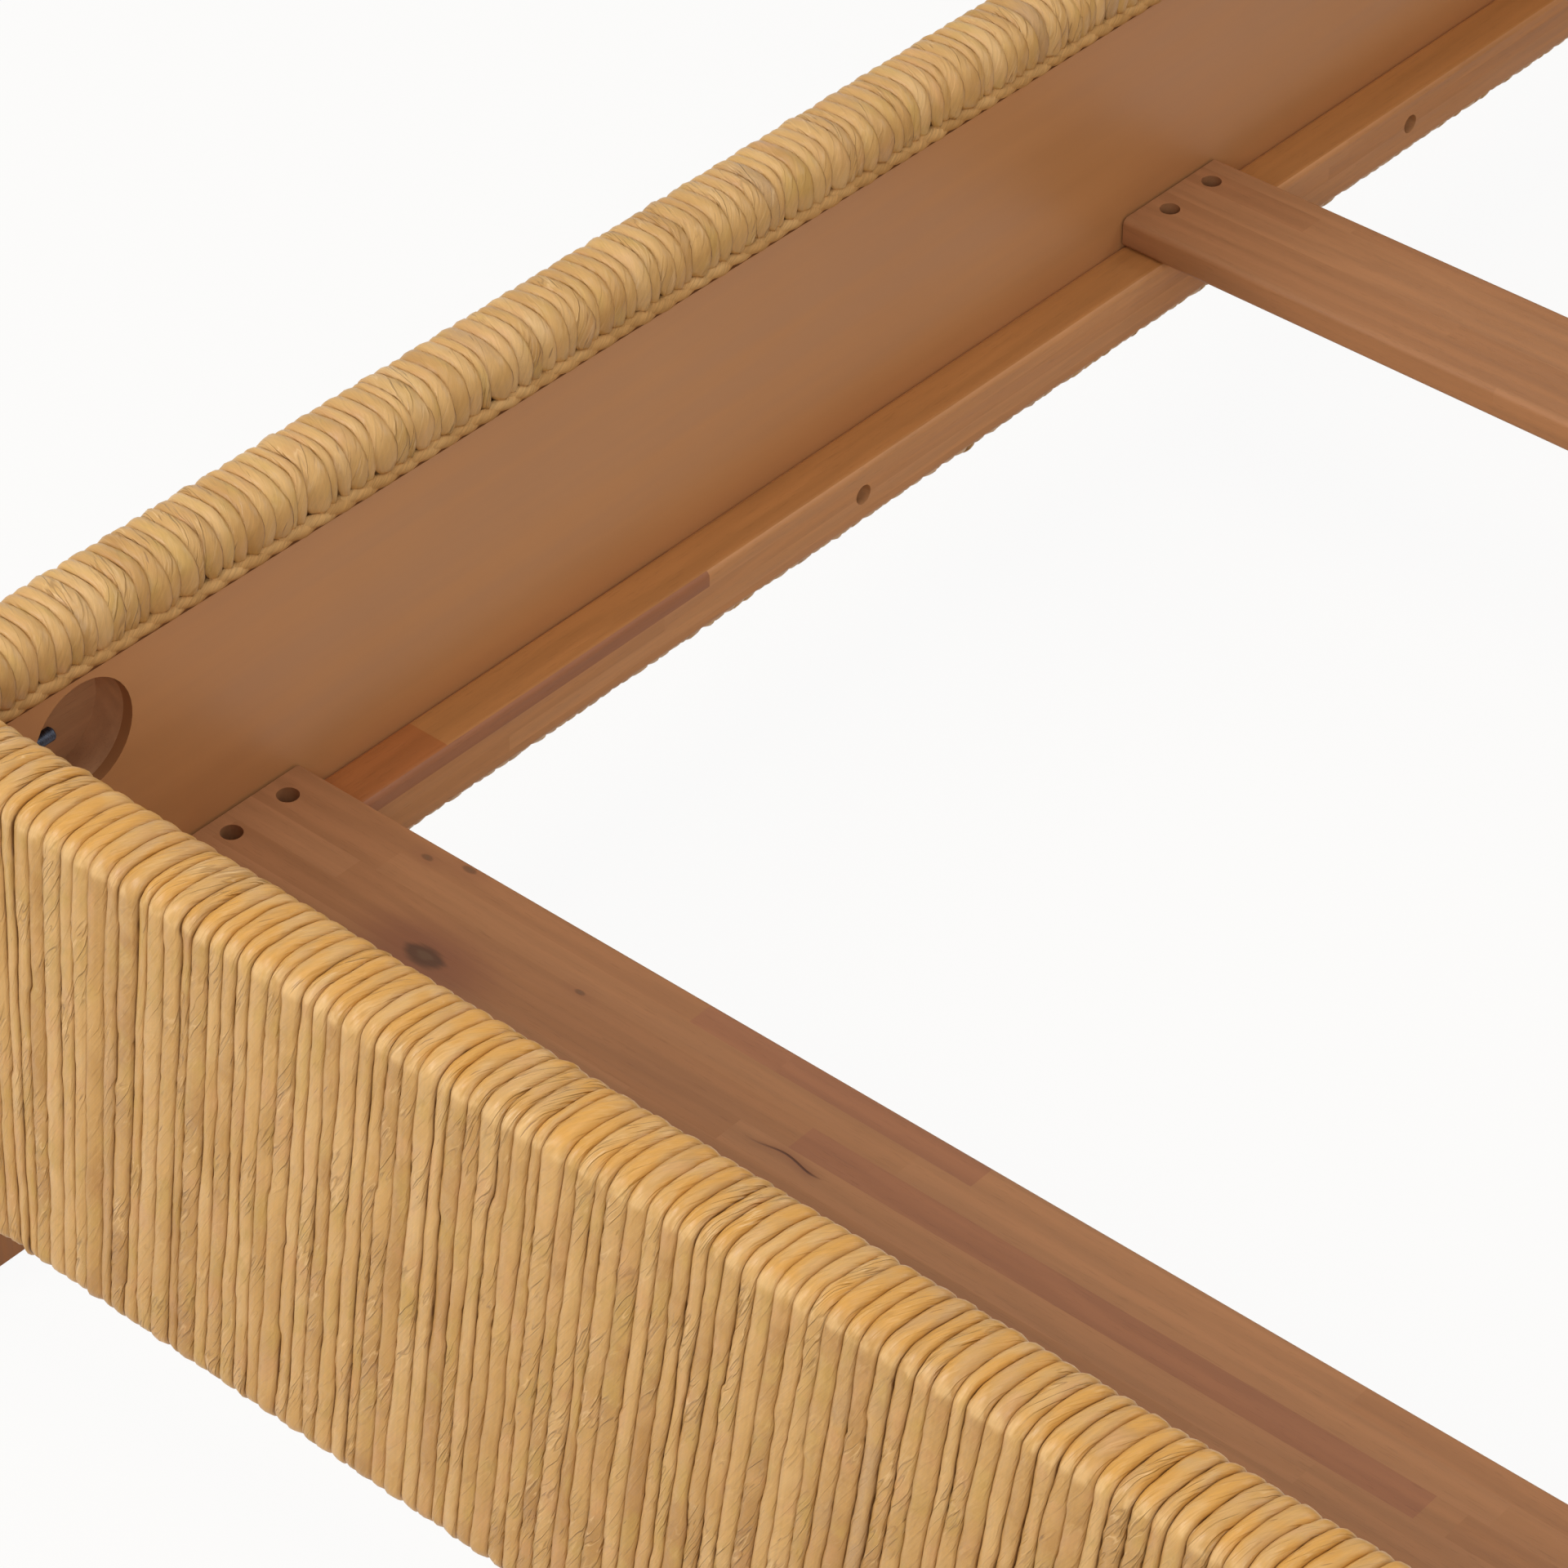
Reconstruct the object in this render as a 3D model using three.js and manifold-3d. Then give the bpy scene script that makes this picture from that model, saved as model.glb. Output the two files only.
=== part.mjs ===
// A bed whose rails and headboard are wrapped in thick twisted cord of banana fibre.
// Millimetres, +Z up, +Y from foot to head. The origin is the middle of the bed on the floor.

import * as THREE from "three";
import { mergeVertices } from "three/addons/utils/BufferGeometryUtils.js";
import Module from "manifold-3d";

// Space for the mattress
const INNER_LENGTH = 1917; // foot rail's inner face to the headboard's corded face
const INNER_WIDTH = 1385; // between the panels of the side rails

// Heights of the wrapped members, which all start at the same level above the floor
const SIDE_HEIGHT = 270;
const FOOT_HEIGHT = 300;
const HEAD_HEIGHT = 1025;
const LEG_HEIGHT = 72;
const GLIDE_HEIGHT = 3;

// Section of a wrapped member
const CORE_THICKNESS = 30;
const CORD = 8.5; // the cord as it lies pressed on the core
const PANEL_THICKNESS = 6.5;
const CORNER_RADIUS = 13;
const UPPER_LIP = 27; // cord turned over at the top of the panel side
const LOWER_LIP = 30;
const WELT_WIDTH = 10; // seen square to the panel
const WELT_DEPTH = 9.8;
const CHEEK_THICKNESS = 8; // end plates of the foot rail and headboard that hold the winding
const CHEEK_INSET = 1; // how far the end plates stay inside the cord

// Turns of cord on the foot rail
const CORD_PITCH = 9.2;
const CORD_LEAN = 0.134; // how far a turn moves along the rail for each unit down its face
const GROOVE_DEPTH = 2.4;
const TURN_CHAMFER = 9;

// Ledgers and crossbars
const LEDGER_WIDTH = 32;
const LEDGER_HEIGHT = 37;
const LEDGER_NEAR_GAP = 20; // from the ledger's end to the end of its rail
const LEDGER_FAR_GAP = 132; // the same at the other end
const LEDGER_TOP = 78; // above the bottom of the rails
const LEDGER_SCREW_COUNT = 4;
const LEDGER_SCREW_INSET = 105.5; // first screw from the ledger's end
const CROSSBAR_COUNT = 3;
const CROSSBAR_WIDTH = 90;
const CROSSBAR_THICKNESS = 19.5;
const CROSSBAR_INSET = 188.8; // first crossbar's middle from the foot rail
const CROSSBAR_END_GAP = 1.5;
const CROSSBAR_HOLE_PITCH = 40;
const CROSSBAR_HOLE_SHIFT = 2; // the pair of holes sits this far towards the head
const CROSSBAR_HOLE_INSET = 13.5; // from the crossbar's end
const EDGE_RADIUS = 4;

// Screws and their counterbored holes
const SCREW_RADIUS = 2.5;
const SCREW_HEAD_RADIUS = 4.8;
const SCREW_HEAD_HEIGHT = 3;
const SCREW_POINT = 4;
const CROSSBAR_SCREW_LENGTH = 30; // under the head
const LEDGER_SCREW_LENGTH = 40;
const COUNTERBORE_RADIUS = 6.15;
const COUNTERBORE_DEPTH = 11;

// Corner studs, nuts and the pockets where the nuts are turned
const POCKET_RADIUS = 32.5;
const POCKET_DEPTH = 26;
const POCKET_INSET = 93.4; // pocket's middle from the end of the side rail
const POCKET_HEIGHT = 196.6; // above the bottom of the rail
const STUD_RADIUS = 4;
const STUD_DEPTH = 14.5; // stud's axis behind the panel's face
const STUD_REACH = 86; // from the end of the side rail to the stud's tip in the pocket
const STUD_GRIP = 20; // length held in the core of the foot rail or headboard
const NUT_ACROSS_FLATS = 13;
const NUT_HEIGHT = 6.5;
const FLANGE_RADIUS = 9;
const FLANGE_HEIGHT = 2;

// Legs
const LEG_SIDE = 60;
const LEG_INSET = 4; // from the outside of the corner
const LEG_EDGE = 3;
const GLIDE_RADIUS = 16;
const CENTRE_LEG_SIDE = 45;

// Clearances
const FIT = 0.3; // round a piece that lies inside another
const SEAT = 0.1; // under a screw head or nut

// Facets: sides of a round hole or rod that shows, and of one that is hidden
const SHOWN_SIDES = 20;
const POCKET_SIDES = 40;
const STUD_SIDES = 12;
const HIDDEN_SIDES = 8;

// Sizes that follow from the ones above
const LIP = CORD - PANEL_THICKNESS; // lips of cord stand this far proud of the panel
const RAIL_THICKNESS = CORE_THICKNESS + 2 * CORD;
const CORE_FACE = -PANEL_THICKNESS;
const CORE_BACK = CORE_FACE - CORE_THICKNESS;
const CORD_FACE = CORE_BACK - CORD;
const WELT_FACE = CORE_FACE + FIT + WELT_DEPTH;
const WELT_PROUD = WELT_FACE - LIP;
const RAIL_BOTTOM = LEG_HEIGHT + GLIDE_HEIGHT;
const FOOT_Y = -(INNER_LENGTH + WELT_PROUD) / 2;
const HEAD_Y = FOOT_Y + INNER_LENGTH;
const OUTER_WIDTH = INNER_WIDTH - 2 * CORD_FACE;
const LEDGER_START = LEDGER_FAR_GAP - INNER_LENGTH / 2;
const LEDGER_END = INNER_LENGTH / 2 - LEDGER_NEAR_GAP;
const CROSSBAR_LENGTH = INNER_WIDTH - 2 * CROSSBAR_END_GAP;

const CORD_TAN = new THREE.MeshStandardMaterial({ color: 0xc89c64, roughness: 0.8 });
const PANEL_BROWN = new THREE.MeshStandardMaterial({ color: 0x9f714b, roughness: 0.55 });
const HARDWOOD = new THREE.MeshStandardMaterial({ color: 0x9b6c46, roughness: 0.6 });
const CORE_WOOD = new THREE.MeshStandardMaterial({ color: 0xb98d5f, roughness: 0.8 });
const DARK_STEEL = new THREE.MeshStandardMaterial({ color: 0x3a3d42, roughness: 0.4, metalness: 1 });
const GLIDE_BLACK = new THREE.MeshStandardMaterial({ color: 0x222222, roughness: 0.7 });

const wasm = await Module();
wasm.setup();

// A closed geometry as a solid that can be cut
function toSolid(geometry) {
  const bare = geometry.clone();
  bare.deleteAttribute("normal");
  bare.deleteAttribute("uv");
  const merged = mergeVertices(bare);
  return new wasm.Manifold(
    new wasm.Mesh({
      numProp: 3,
      vertProperties: merged.attributes.position.array,
      triVerts: new Uint32Array(merged.index.array),
    }),
  );
}

// The geometry of a solid that has been cut
function toGeometry(solid) {
  const { vertProperties, triVerts } = solid.getMesh();
  const geometry = new THREE.BufferGeometry();
  geometry.setAttribute("position", new THREE.BufferAttribute(vertProperties, 3));
  geometry.setIndex(new THREE.BufferAttribute(triVerts, 1));
  geometry.computeVertexNormals();
  return geometry;
}

function cut(geometry, tools) {
  return toGeometry(tools.reduce((left, tool) => left.subtract(toSolid(tool)), toSolid(geometry)));
}

// A box from its lowest to its highest corner
function block([x0, y0, z0], [x1, y1, z1]) {
  const box = new THREE.BoxGeometry(x1 - x0, y1 - y0, z1 - z0);
  return box.translate((x0 + x1) / 2, (y0 + y1) / 2, (z0 + z1) / 2);
}

// A Y-Z outline run along X
const SECTION_TO_BAR = new THREE.Matrix4().makeBasis(
  new THREE.Vector3(0, 1, 0),
  new THREE.Vector3(0, 0, 1),
  new THREE.Vector3(1, 0, 0),
);
function bar(outline, x0, x1) {
  const solid = new THREE.ExtrudeGeometry(outline, { depth: x1 - x0, bevelEnabled: false, curveSegments: 4 });
  return solid.applyMatrix4(SECTION_TO_BAR).translate(x0, 0, 0);
}

function roundedOutline(x0, x1, y0, y1, radius) {
  const outline = new THREE.Shape();
  outline.moveTo(x1, y0 + radius);
  outline.absarc(x1 - radius, y1 - radius, radius, 0, Math.PI / 2);
  outline.absarc(x0 + radius, y1 - radius, radius, Math.PI / 2, Math.PI);
  outline.absarc(x0 + radius, y0 + radius, radius, Math.PI, 1.5 * Math.PI);
  outline.absarc(x1 - radius, y0 + radius, radius, 1.5 * Math.PI, 2 * Math.PI);
  return outline;
}

// A round rod along one axis, from its start point
function rod(axis, start, length, radius, sides) {
  const cylinder = new THREE.CylinderGeometry(radius, radius, length, sides).translate(0, length / 2, 0);
  if (axis === "x") cylinder.rotateZ(-Math.PI / 2);
  if (axis === "z") cylinder.rotateX(Math.PI / 2);
  return cylinder.translate(...start);
}

function mesh(name, geometry, material) {
  const piece = new THREE.Mesh(geometry, material);
  piece.name = name;
  return piece;
}

// Each wrapped member lies along X with its panel's face at Y = 0, facing +Y, and its bottom at Z = 0.

// The core is a plain board; end plates, where a member has them, are glued on and hold the winding
function coreSolid({ length, height, hasCheeks }) {
  const half = length / 2;
  const board = block([-half, CORE_BACK, CORD], [half, CORE_FACE, height - CORD]);
  if (!hasCheeks) return board;
  const outline = roundedOutline(
    CORD_FACE + CHEEK_INSET,
    LIP - CHEEK_INSET,
    CHEEK_INSET,
    height - CHEEK_INSET,
    CORNER_RADIUS,
  );
  const ends = [-half, half - CHEEK_THICKNESS].map((x) => bar(outline, x, x + CHEEK_THICKNESS));
  return toGeometry(ends.reduce((whole, end) => whole.add(toSolid(end)), toSolid(board)));
}

// The space inside the wrap: round the core, and the recess between the lips for the panel and its welt
function wrapInside({ length, height, recessLength }) {
  const reach = length / 2 + 1;
  const aroundCore = block(
    [-reach, CORE_BACK - FIT, CORD - FIT],
    [reach, CORE_FACE + FIT, height - CORD + FIT],
  );
  const recess = block(
    [-recessLength / 2, CORE_FACE, LOWER_LIP],
    [recessLength / 2, LIP + 1, height - UPPER_LIP],
  );
  return [aroundCore, recess];
}

// Plain wrap: the outside of all the cord, as one sleeve that is open towards the panel
function plainWrap(member) {
  const { wrapLength, height } = member;
  const outline = roundedOutline(CORD_FACE, LIP, 0, height, CORNER_RADIUS);
  return cut(bar(outline, -wrapLength / 2, wrapLength / 2), wrapInside(member));
}

// Eight points round the wrap, from the top of the panel side over the top and down the corded face
function turnPoints(height, inset) {
  const inner = LIP - inset;
  const outer = CORD_FACE + inset;
  const top = height - inset;
  const bottom = inset;
  return [
    [inner, top - TURN_CHAMFER],
    [inner - TURN_CHAMFER, top],
    [outer + TURN_CHAMFER, top],
    [outer, top - TURN_CHAMFER],
    [outer, bottom + TURN_CHAMFER],
    [outer + TURN_CHAMFER, bottom],
    [inner - TURN_CHAMFER, bottom],
    [inner, bottom + TURN_CHAMFER],
  ];
}

// How far along the cord each of those points lies
function turnDistances(points) {
  const distances = [0];
  for (let i = 1; i < points.length; i++) {
    const step = Math.hypot(points[i][0] - points[i - 1][0], points[i][1] - points[i - 1][1]);
    distances.push(distances[i - 1] + step);
  }
  return distances;
}

// Side faces between one ring of points and the next, for rings that follow each other along X
function ringFaces(ringCount, sides) {
  const triangles = [];
  for (let ring = 0; ring < ringCount - 1; ring++) {
    for (let i = 0; i < sides; i++) {
      const a = ring * sides + i;
      const b = ring * sides + ((i + 1) % sides);
      triangles.push(a, b, b + sides, a, b + sides, a + sides);
    }
  }
  const last = (ringCount - 1) * sides;
  for (let i = 1; i < sides - 1; i++) triangles.push(0, i + 1, i, last, last + i, last + i + 1);
  return triangles;
}

// Wrap with each turn of cord as a ridge: rings lie by turns in a groove and on a crest, and all lean alike
function ridgedWrap(member) {
  const { wrapLength, height } = member;
  const crest = turnPoints(height, 0);
  const groove = turnPoints(height, GROOVE_DEPTH);
  const distances = turnDistances(crest);
  const drift = CORD_LEAN * distances[distances.length - 1];
  const turns = Math.ceil((wrapLength + drift) / CORD_PITCH) + 2;
  const ringCount = 2 * turns + 1;
  const positions = [];
  for (let ring = 0; ring < ringCount; ring++) {
    const x = (ring / 2 - 1) * CORD_PITCH - wrapLength / 2;
    const points = ring % 2 ? crest : groove;
    points.forEach(([y, z], i) => positions.push(x - CORD_LEAN * distances[i], y, z));
  }
  const winding = new THREE.BufferGeometry();
  winding.setAttribute("position", new THREE.Float32BufferAttribute(positions, 3));
  winding.setIndex(ringFaces(ringCount, crest.length));
  const trim = block([-wrapLength / 2, CORD_FACE - 1, -1], [wrapLength / 2, LIP + 1, height + 1]);
  return cut(toGeometry(toSolid(winding).intersect(toSolid(trim))), wrapInside(member));
}

// Panel nailed over the core, in the middle of the recess
function panelBox({ recessLength, height }) {
  const margin = FIT + WELT_WIDTH + FIT;
  const half = recessLength / 2 - margin;
  return block(
    [-half, CORE_FACE, LOWER_LIP + margin],
    [half, 0, height - UPPER_LIP - margin],
  );
}

// Welt of twisted cord laid round the panel, over the ends of the wrap
function weltRing({ recessLength, height }) {
  const half = recessLength / 2 - FIT;
  const low = LOWER_LIP + FIT;
  const high = height - UPPER_LIP - FIT;
  const whole = block([-half, CORE_FACE + FIT, low], [half, WELT_FACE, high]);
  const opening = block(
    [WELT_WIDTH - half, CORE_FACE, low + WELT_WIDTH],
    [half - WELT_WIDTH, WELT_FACE + 1, high - WELT_WIDTH],
  );
  return cut(whole, [opening]);
}

// A screw with its head up along the given axis; the underside of the head is at the origin
function screw(length) {
  const profile = [
    [0, -length],
    [SCREW_RADIUS, SCREW_POINT - length],
    [SCREW_RADIUS, 0],
    [SCREW_HEAD_RADIUS, 0],
    [SCREW_HEAD_RADIUS, SCREW_HEAD_HEIGHT / 2],
    [0, SCREW_HEAD_HEIGHT],
  ];
  return new THREE.LatheGeometry(
    profile.map(([radius, height]) => new THREE.Vector2(radius, height)),
    HIDDEN_SIDES,
  );
}

// Flanged nut round the stud, its flange at x = 0 and its hexagon towards -X
function flangedNut() {
  const hexagon = new THREE.CylinderGeometry(
    NUT_ACROSS_FLATS / Math.sqrt(3),
    NUT_ACROSS_FLATS / Math.sqrt(3),
    NUT_HEIGHT,
    6,
  );
  hexagon.rotateZ(Math.PI / 2).translate(-NUT_HEIGHT / 2, 0, 0);
  const flange = rod("x", [-FLANGE_HEIGHT, 0, 0], FLANGE_HEIGHT, FLANGE_RADIUS, SHOWN_SIDES);
  const bore = rod("x", [-NUT_HEIGHT - 1, 0, 0], NUT_HEIGHT + 2, STUD_RADIUS + FIT, STUD_SIDES);
  return toGeometry(toSolid(hexagon).add(toSolid(flange)).subtract(toSolid(bore)));
}

const bed = new THREE.Group();

// Where the crossbars and their screws lie, as distances from the bed's middle towards the head
const crossbarReach = INNER_LENGTH / 2 - CROSSBAR_INSET;
const middleY = FOOT_Y + INNER_LENGTH / 2;
const crossbars = Array.from({ length: CROSSBAR_COUNT }, (_, i) => ({
  name: `crossbar_${i + 1}`,
  along: -crossbarReach + (2 * crossbarReach * i) / (CROSSBAR_COUNT - 1),
}));
const pairShifts = [-0.5, 0.5].map((side) => side * CROSSBAR_HOLE_PITCH + CROSSBAR_HOLE_SHIFT);
const crossbarScrewX = CROSSBAR_LENGTH / 2 - CROSSBAR_HOLE_INSET;
const ledgerTopZ = RAIL_BOTTOM + LEDGER_TOP;

// Foot rail and headboard: the same build, corded face towards -Y
const crossMember = {
  length: OUTER_WIDTH,
  wrapLength: OUTER_WIDTH - 2 * CHEEK_THICKNESS,
  recessLength: INNER_WIDTH - 2 * (WELT_FACE + FIT),
  hasCheeks: true,
};
const studX = INNER_WIDTH / 2 + STUD_DEPTH;

function addCrossMember({ name, panelName, height, y, wrap, studStart, studEnd }) {
  const member = { ...crossMember, height };
  const studHoles = [-studX, studX].map((x) =>
    rod("y", [x, studStart, POCKET_HEIGHT], studEnd - studStart, STUD_RADIUS + FIT, STUD_SIDES),
  );
  const group = new THREE.Group();
  group.position.set(0, y, RAIL_BOTTOM);
  group.add(mesh(`${name}_core`, cut(coreSolid(member), studHoles), CORE_WOOD));
  group.add(mesh(`${name}_cord_wrap`, cut(wrap(member), studHoles), CORD_TAN));
  group.add(mesh(panelName, panelBox(member), PANEL_BROWN));
  group.add(mesh(`${name}_welt`, weltRing(member), CORD_TAN));
  bed.add(group);
}

addCrossMember({
  name: "foot_rail",
  panelName: "foot_rail_inner_panel",
  height: FOOT_HEIGHT,
  y: FOOT_Y - LIP,
  wrap: ridgedWrap,
  studStart: CORE_FACE - STUD_GRIP - FIT,
  studEnd: LIP + 1,
});
addCrossMember({
  name: "headboard",
  panelName: "headboard_back_panel",
  height: HEAD_HEIGHT,
  y: HEAD_Y - CORD_FACE,
  wrap: plainWrap,
  studStart: CORD_FACE - 1,
  studEnd: CORE_BACK + STUD_GRIP + FIT,
});

// Side rails: one build, turned end for end for the other side of the bed
function pocket(x) {
  return rod("y", [x, -POCKET_DEPTH, POCKET_HEIGHT], POCKET_DEPTH + 1, POCKET_RADIUS, POCKET_SIDES);
}

function ledgerScrewPlaces() {
  const first = LEDGER_START + LEDGER_SCREW_INSET;
  const pitch = (LEDGER_END - LEDGER_SCREW_INSET - first) / (LEDGER_SCREW_COUNT - 1);
  return Array.from({ length: LEDGER_SCREW_COUNT }, (_, i) => first + i * pitch);
}

function ledger(side) {
  const outline = roundedOutline(0, LEDGER_WIDTH, LEDGER_TOP - LEDGER_HEIGHT, LEDGER_TOP, EDGE_RADIUS);
  const whole = bar(outline, LEDGER_START, LEDGER_END);
  const z = LEDGER_TOP - LEDGER_HEIGHT / 2;
  const holes = ledgerScrewPlaces().flatMap((x) => [
    rod("y", [x, LEDGER_WIDTH - COUNTERBORE_DEPTH, z], COUNTERBORE_DEPTH + 1, COUNTERBORE_RADIUS, SHOWN_SIDES),
    rod("y", [x, -1, z], LEDGER_WIDTH, SCREW_RADIUS + FIT, HIDDEN_SIDES),
  ]);
  const depth = CROSSBAR_SCREW_LENGTH + COUNTERBORE_DEPTH - CROSSBAR_THICKNESS + FIT;
  const pilotY = INNER_WIDTH / 2 - crossbarScrewX;
  const pilotPlaces = crossbars.flatMap(({ along }) => pairShifts.map((shift) => side * (along + shift)));
  const pilots = pilotPlaces.map((x) =>
    rod("z", [x, pilotY, LEDGER_TOP - depth], depth + 1, SCREW_RADIUS + FIT, HIDDEN_SIDES),
  );
  return cut(whole, [...holes, ...pilots]);
}

function addSideRail(name, side) {
  const length = INNER_LENGTH;
  const half = length / 2;
  const member = {
    length,
    wrapLength: length,
    recessLength: length,
    height: SIDE_HEIGHT,
    hasCheeks: false,
  };
  const pockets = [-1, 1].map((end) => pocket(end * (half - POCKET_INSET)));
  const studHoles = [-half - 1, half - POCKET_INSET].map((x) =>
    rod("x", [x, -STUD_DEPTH, POCKET_HEIGHT], POCKET_INSET + 1, STUD_RADIUS + FIT, STUD_SIDES),
  );
  const screwZ = LEDGER_TOP - LEDGER_HEIGHT / 2;
  const seatY = LEDGER_WIDTH - COUNTERBORE_DEPTH;
  const pilotEnd = seatY - LEDGER_SCREW_LENGTH - FIT;
  const pilots = ledgerScrewPlaces().map((x) =>
    rod("y", [x, pilotEnd, screwZ], LEDGER_SCREW_LENGTH, SCREW_RADIUS + FIT, HIDDEN_SIDES),
  );
  const group = new THREE.Group();
  group.position.set((side * INNER_WIDTH) / 2, middleY, RAIL_BOTTOM);
  group.rotation.z = (side * Math.PI) / 2;
  const openEnded = { ...member, recessLength: length + 2 };
  const core = cut(coreSolid(member), [...pockets, ...studHoles, ...pilots]);
  const panel = cut(panelBox(member), [...pockets, ...pilots]);
  group.add(mesh(`${name}_rail_core`, core, CORE_WOOD));
  group.add(mesh(`${name}_rail_cord_wrap`, plainWrap(openEnded), CORD_TAN));
  group.add(mesh(`${name}_rail_inner_panel`, panel, PANEL_BROWN));
  group.add(mesh(`${name}_rail_welt`, weltRing(member), CORD_TAN));
  group.add(mesh(`${name}_ledger`, ledger(side), HARDWOOD));
  ledgerScrewPlaces().forEach((x, i) => {
    const piece = mesh(`${name}_ledger_screw_${i + 1}`, screw(LEDGER_SCREW_LENGTH), DARK_STEEL);
    piece.position.set(x, seatY + SEAT, screwZ);
    group.add(piece);
  });
  addStuds(group, name, side, half);
  bed.add(group);
}

// A stud through each end of the side rail, held in the foot rail or headboard, with its nut in the pocket
function addStuds(group, name, side, half) {
  const chordGap = POCKET_RADIUS - Math.sqrt(POCKET_RADIUS ** 2 - FLANGE_RADIUS ** 2);
  const seat = half - POCKET_INSET + POCKET_RADIUS - chordGap - SEAT;
  for (const end of [-1, 1]) {
    const place = `${end * side > 0 ? "head" : "foot"}_${name}`;
    const stud = mesh(
      `${place}_stud`,
      rod("x", [half - STUD_REACH, 0, 0], STUD_REACH + CORD + STUD_GRIP, STUD_RADIUS, STUD_SIDES),
      DARK_STEEL,
    );
    const nut = mesh(`${place}_nut`, flangedNut().translate(seat, 0, 0), DARK_STEEL);
    const turned = new THREE.Group();
    turned.position.set(0, -STUD_DEPTH, POCKET_HEIGHT);
    turned.rotation.z = end > 0 ? 0 : Math.PI;
    turned.add(stud, nut);
    group.add(turned);
  }
}

addSideRail("left", -1);
addSideRail("right", 1);

// Crossbars lie on both ledgers, each with two screws at either end and a leg under its middle
function addCrossbar({ name, along }) {
  const outline = roundedOutline(-CROSSBAR_WIDTH / 2, CROSSBAR_WIDTH / 2, 0, CROSSBAR_THICKNESS, EDGE_RADIUS);
  const seatZ = CROSSBAR_THICKNESS - COUNTERBORE_DEPTH;
  const places = [-crossbarScrewX, crossbarScrewX].flatMap((x) => pairShifts.map((y) => [x, y]));
  const holes = places.flatMap(([x, y]) => [
    rod("z", [x, y, seatZ], COUNTERBORE_DEPTH + 1, COUNTERBORE_RADIUS, SHOWN_SIDES),
    rod("z", [x, y, -1], CROSSBAR_THICKNESS, SCREW_RADIUS + FIT, HIDDEN_SIDES),
  ]);
  const group = new THREE.Group();
  group.position.set(0, middleY + along, ledgerTopZ);
  group.add(mesh(name, cut(bar(outline, -CROSSBAR_LENGTH / 2, CROSSBAR_LENGTH / 2), holes), HARDWOOD));
  places.forEach(([x, y], i) => {
    const upright = screw(CROSSBAR_SCREW_LENGTH).rotateX(Math.PI / 2);
    const piece = mesh(`${name}_screw_${i + 1}`, upright, DARK_STEEL);
    piece.position.set(x, y, seatZ + SEAT);
    group.add(piece);
  });
  const leg = squareLeg(CENTRE_LEG_SIDE, ledgerTopZ).translate(0, 0, -ledgerTopZ);
  group.add(mesh(name.replace("crossbar", "centre_leg"), leg, HARDWOOD));
  bed.add(group);
}

// An upright post with eased corners, its foot at z = 0
function squareLeg(side, height) {
  const outline = roundedOutline(-side / 2, side / 2, -side / 2, side / 2, LEG_EDGE);
  return new THREE.ExtrudeGeometry(outline, { depth: height, bevelEnabled: false, curveSegments: 3 });
}

crossbars.forEach(addCrossbar);

// Corner legs under the joints, on round glides
const legX = OUTER_WIDTH / 2 - LEG_INSET - LEG_SIDE / 2;
const legFromEnd = RAIL_THICKNESS - LEG_INSET - LEG_SIDE / 2;
for (const [place, x, y] of [
  ["foot_left", -legX, FOOT_Y - legFromEnd],
  ["foot_right", legX, FOOT_Y - legFromEnd],
  ["head_left", -legX, HEAD_Y + legFromEnd],
  ["head_right", legX, HEAD_Y + legFromEnd],
]) {
  const leg = mesh(`${place}_leg`, squareLeg(LEG_SIDE, LEG_HEIGHT), HARDWOOD);
  leg.position.set(x, y, GLIDE_HEIGHT);
  const pad = rod("z", [x, y, 0], GLIDE_HEIGHT, GLIDE_RADIUS, SHOWN_SIDES);
  const glide = mesh(`${place}_glide`, pad, GLIDE_BLACK);
  bed.add(leg, glide);
}

export default bed;
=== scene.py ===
import math

import bpy
import numpy as np
from mathutils import Matrix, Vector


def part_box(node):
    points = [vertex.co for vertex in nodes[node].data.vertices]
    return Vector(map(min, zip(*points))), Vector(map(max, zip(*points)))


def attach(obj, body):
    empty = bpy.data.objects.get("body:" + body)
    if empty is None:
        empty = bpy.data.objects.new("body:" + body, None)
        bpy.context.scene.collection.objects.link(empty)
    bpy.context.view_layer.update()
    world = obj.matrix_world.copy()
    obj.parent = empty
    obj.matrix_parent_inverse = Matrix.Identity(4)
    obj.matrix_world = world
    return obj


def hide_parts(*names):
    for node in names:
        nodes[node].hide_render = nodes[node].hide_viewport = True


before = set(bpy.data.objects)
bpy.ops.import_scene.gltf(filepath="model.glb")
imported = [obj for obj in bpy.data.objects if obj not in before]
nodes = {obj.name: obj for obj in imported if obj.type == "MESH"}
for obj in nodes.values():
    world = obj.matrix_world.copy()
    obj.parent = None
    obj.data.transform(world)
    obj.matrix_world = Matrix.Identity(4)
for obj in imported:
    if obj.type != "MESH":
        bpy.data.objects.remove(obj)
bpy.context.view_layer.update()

# The camera stands outside the foot end, to the right, and looks down into the inner left corner.
# Its place, turn and lens come from the vanishing lines of the rails and the crossbars.
CAMERA_PLACE = (0.9251, -2.2105, 1.9170)
CAMERA_LENS = 124.98
CAMERA_SENSOR = 36.0
LOOK_TURN = math.radians(40.94)
LOOK_DOWN = math.radians(38.86)
LOOK_ROLL = math.radians(0.242)

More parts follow.
